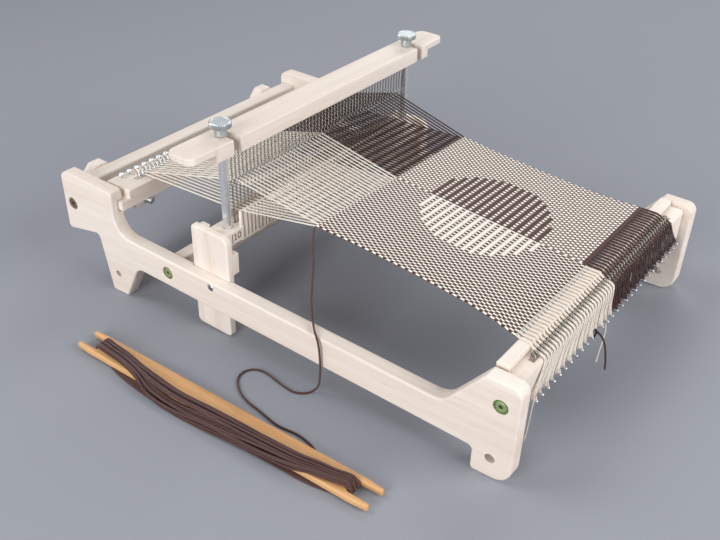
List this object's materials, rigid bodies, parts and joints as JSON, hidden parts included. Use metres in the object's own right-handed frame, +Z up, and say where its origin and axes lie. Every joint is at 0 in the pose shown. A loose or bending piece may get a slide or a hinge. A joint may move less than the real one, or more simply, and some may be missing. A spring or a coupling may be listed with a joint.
{
  "type": "sample loom",
  "caption": "Small wooden table loom with a wire heddle on rods, spring-spaced warp, half-woven cloth, screw-tensioned back beam, and a stick shuttle on a loose weft yarn.",
  "frame": {"origin": "middle of the loom's footprint on the floor, measured without the loose yarn and the shuttle", "axes": "+Y from the weaver towards the back beam, +Z up, +X to the right as the weaver sits; the rails climb 2.65 degrees towards +Y"},
  "size_m": [0.3085, 0.3662, 0.1468],
  "materials": {
    "wood": "pale, sanded, unvarnished",
    "warm_wood": "smooth, oiled",
    "zinc": "zinc plated",
    "dark_steel": "blackened",
    "green": "satin",
    "purple": "satin",
    "cream_yarn": "matt cotton",
    "brown_yarn": "matt wool",
    "cloth": "plain woven"
  },
  "bodies": {
    "frame": {"side_frame_near": "wood", "side_frame_far": "wood", "front_bolt_near": "dark_steel", "front_bolt_far": "dark_steel", "mid_bolt_near": "dark_steel", "mid_bolt_far": "dark_steel", "back_bolt_near": "dark_steel", "back_bolt_far": "dark_steel", "front_sleeve_near": "green", "front_sleeve_far": "green", "mid_sleeve_near": "green", "mid_sleeve_far": "green", "back_sleeve_near": "purple", "back_sleeve_far": "purple", "post_screw_near": "zinc", "post_screw_far": "zinc", "front_beam": "wood", "front_pins": "zinc", "front_stick": "wood", "front_spring": "zinc", "back_stretcher": "wood", "mid_stretcher": "wood", "post_near": "wood", "post_far": "wood", "warp_upper_front": "cream_yarn", "warp_upper_back": "cream_yarn", "warp_lower": "cream_yarn", "warp_front": "cream_yarn", "cloth": "cloth", "shuttle": "warm_wood", "shuttle_winding": "brown_yarn", "weft_yarn": "brown_yarn"},
    "tension_beam": {"tension_beam": "wood", "back_pegs": "zinc", "back_spring": "zinc", "tension_lug_near": "wood", "tension_lug_far": "wood"},
    "knob_near": {"tension_bolt_near": "dark_steel", "tension_knob_near": "wood"},
    "knob_far": {"tension_bolt_far": "dark_steel", "tension_knob_far": "wood"},
    "heddle": {"heddle_lower_bar": "wood", "comb_front": "wood", "comb_back": "wood", "heddle_rod_near": "zinc", "heddle_rod_far": "zinc", "heddle_wires": "zinc"},
    "upper_bar": {"heddle_upper_bar": "wood"},
    "thumb_nut_near": {"thumb_nut_near": "zinc"},
    "thumb_nut_far": {"thumb_nut_far": "zinc"}
  },
  "joints": [
    {"name": "heddle_beat", "type": "slide", "parent": "frame", "child": "heddle", "axis": [0, 0.9989, 0.0462], "range_m": [-0.038, 0], "deforming": ["warp_upper_front", "warp_upper_back", "warp_lower"]},
    {"name": "upper_bar_unhook", "type": "slide", "parent": "heddle", "child": "upper_bar", "axis": [1, 0, 0], "range_m": [-0.0035, 0]},
    {"name": "thumb_nut_near_turn", "type": "hinge", "parent": "heddle", "child": "thumb_nut_near", "pos_m": [-0.095, 0.03697, 0.14005], "axis": [0, -0.0462, 0.9989], "continuous": true},
    {"name": "thumb_nut_far_turn", "type": "hinge", "parent": "heddle", "child": "thumb_nut_far", "pos_m": [0.095, 0.03697, 0.14005], "axis": [0, -0.0462, 0.9989], "continuous": true},
    {"name": "tension_knob_near_turn", "type": "hinge", "parent": "frame", "child": "knob_near", "pos_m": [-0.0865, 0.16711, 0.06449], "axis": [0, 0.9989, 0.0462], "range_deg": [-2160, 1080]},
    {"name": "tension_knob_far_turn", "type": "hinge", "parent": "frame", "child": "knob_far", "pos_m": [0.0865, 0.16711, 0.06449], "axis": [0, 0.9989, 0.0462], "range_deg": [-2160, 1080]},
    {"name": "tension_slide", "type": "slide", "parent": "frame", "child": "tension_beam", "axis": [0, 0.9989, 0.0462], "range_m": [-0.0024, 0.0048], "deforming": ["warp_upper_back", "warp_lower"]}
  ],
  "couplings": [
    {"joint": "tension_knob_near_turn", "follows": "tension_slide", "rad_per_m": -7854},
    {"joint": "tension_knob_far_turn", "follows": "tension_slide", "rad_per_m": -7854}
  ]
}
